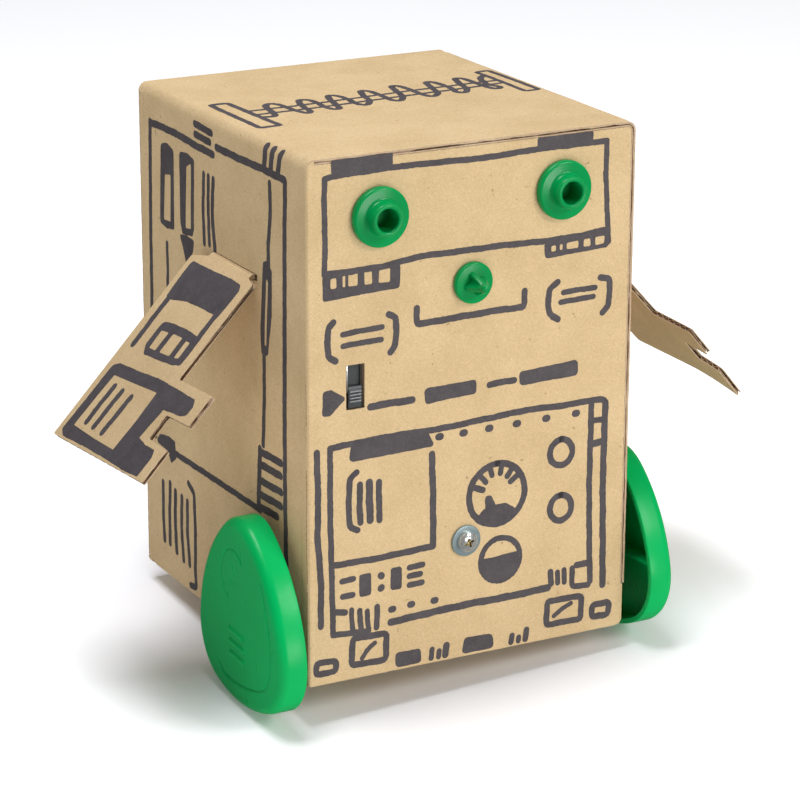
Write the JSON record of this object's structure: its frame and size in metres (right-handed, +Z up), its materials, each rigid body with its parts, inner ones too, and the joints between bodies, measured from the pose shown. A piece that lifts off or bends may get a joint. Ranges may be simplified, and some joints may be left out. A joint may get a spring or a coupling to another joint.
{
  "type": "educational walking robot",
  "caption": "Corrugated carton robot with drawn face, plastic cam feet on a geared battery drive, folding claw arms, tube eyes and a slide switch.",
  "frame": {"origin": "centre of the standing robot's bounding box, at floor level", "axes": "+Z up from the floor, -Y out of the face, +X to the right of someone facing the robot. The carton leans back 4.089 degrees and 2.775 degrees towards +X, because it stands on two cam feet at different turns and on its rear lower right corner"},
  "size_m": [0.2158, 0.1398, 0.1781],
  "materials": {
    "kraft_board": "unbleached corrugated board with black marker line drawing",
    "green_plastic": "moulded, glossy",
    "zinc_steel": "zinc plated",
    "black_plastic": "moulded, satin",
    "tinned_brass": "plain",
    "grey_plastic": "moulded, fine texture",
    "gear_nylon": "natural nylon",
    "ferrite": "raw",
    "cell_wrap": "shrink sleeve",
    "red_lead": "soft sheath",
    "black_lead": "soft sheath"
  },
  "bodies": {
    "carton": {"carton_sleeve": "kraft_board", "front_panel": "kraft_board", "left_eye": "green_plastic", "right_eye": "green_plastic", "nose_rivet": "green_plastic", "rivet_retainers": "green_plastic", "fixing_washer": "zinc_steel", "fixing_screw": "zinc_steel", "switch_frame": "zinc_steel", "switch_body": "black_plastic", "switch_terminals": "tinned_brass", "left_arm_tab": "kraft_board", "right_arm_tab": "kraft_board", "gearbox_case": "grey_plastic", "gearbox_cover": "grey_plastic", "motor_cover": "grey_plastic", "case_screws": "zinc_steel", "axle_bushes": "tinned_brass", "gear_pins": "zinc_steel", "motor_can": "zinc_steel", "motor_end_cap": "gear_nylon", "motor_magnets": "ferrite", "battery_tray": "grey_plastic", "battery_cell": "cell_wrap", "battery_contact": "tinned_brass", "battery_spring": "tinned_brass", "motor_lead": "red_lead", "battery_lead": "black_lead"},
    "feet_axle": {"output_axle": "zinc_steel", "output_gear": "gear_nylon", "left_foot": "green_plastic", "right_foot": "green_plastic"},
    "second_gear": {"second_gear": "gear_nylon"},
    "first_gear": {"first_gear": "gear_nylon"},
    "motor_rotor": {"motor_shaft": "zinc_steel", "motor_pinion": "gear_nylon", "motor_armature": "ferrite"},
    "switch_knob": {"switch_knob": "black_plastic"},
    "left_arm": {"left_arm": "kraft_board"},
    "right_arm": {"right_arm": "kraft_board"},
    "back_lid": {"back_lid": "kraft_board"},
    "battery_cover": {"battery_cover": "grey_plastic"}
  },
  "joints": [
    {"name": "feet_turn", "type": "hinge", "parent": "carton", "child": "feet_axle", "pos_m": [-0.00222, -0.03649, 0.02837], "axis": [0.9988, 0, -0.0484], "continuous": true},
    {"name": "second_gear_turn", "type": "hinge", "parent": "carton", "child": "second_gear", "pos_m": [0.01225, -0.02977, 0.03762], "axis": [0.9988, 0, -0.0484], "continuous": true},
    {"name": "first_gear_turn", "type": "hinge", "parent": "carton", "child": "first_gear", "pos_m": [0.01041, -0.01823, 0.041], "axis": [0.9988, 0, -0.0484], "continuous": true},
    {"name": "motor_turn", "type": "hinge", "parent": "carton", "child": "motor_rotor", "pos_m": [-0.00214, -0.02115, 0.02996], "axis": [0.9988, 0, -0.0484], "continuous": true},
    {"name": "switch_slide", "type": "slide", "parent": "carton", "child": "switch_knob", "axis": [0.0483, 0.0713, 0.9963], "range_m": [0, 0.0064]},
    {"name": "left_arm_fold", "type": "hinge", "parent": "carton", "child": "left_arm", "pos_m": [-0.05469, -0.00205, 0.13133], "axis": [-0.0035, 0.9975, -0.0712], "range_deg": [-25, 75]},
    {"name": "right_arm_fold", "type": "hinge", "parent": "carton", "child": "right_arm", "pos_m": [0.05997, -0.00205, 0.12578], "axis": [0.0035, -0.9975, 0.0712], "range_deg": [-25, 75]},
    {"name": "back_lid_fold", "type": "hinge", "parent": "carton", "child": "back_lid", "pos_m": [-0.05582, 0.06399, 0.08752], "axis": [0.0483, 0.0713, 0.9963], "range_deg": [0, 110]},
    {"name": "battery_cover_slide", "type": "slide", "parent": "carton", "child": "battery_cover", "axis": [-0.0035, 0.9975, -0.0712], "range_m": [0, 0.02]}
  ],
  "couplings": [
    {"joint": "second_gear_turn", "follows": "feet_turn", "ratio": -3},
    {"joint": "first_gear_turn", "follows": "feet_turn", "ratio": 9},
    {"joint": "motor_turn", "follows": "feet_turn", "ratio": -27}
  ]
}
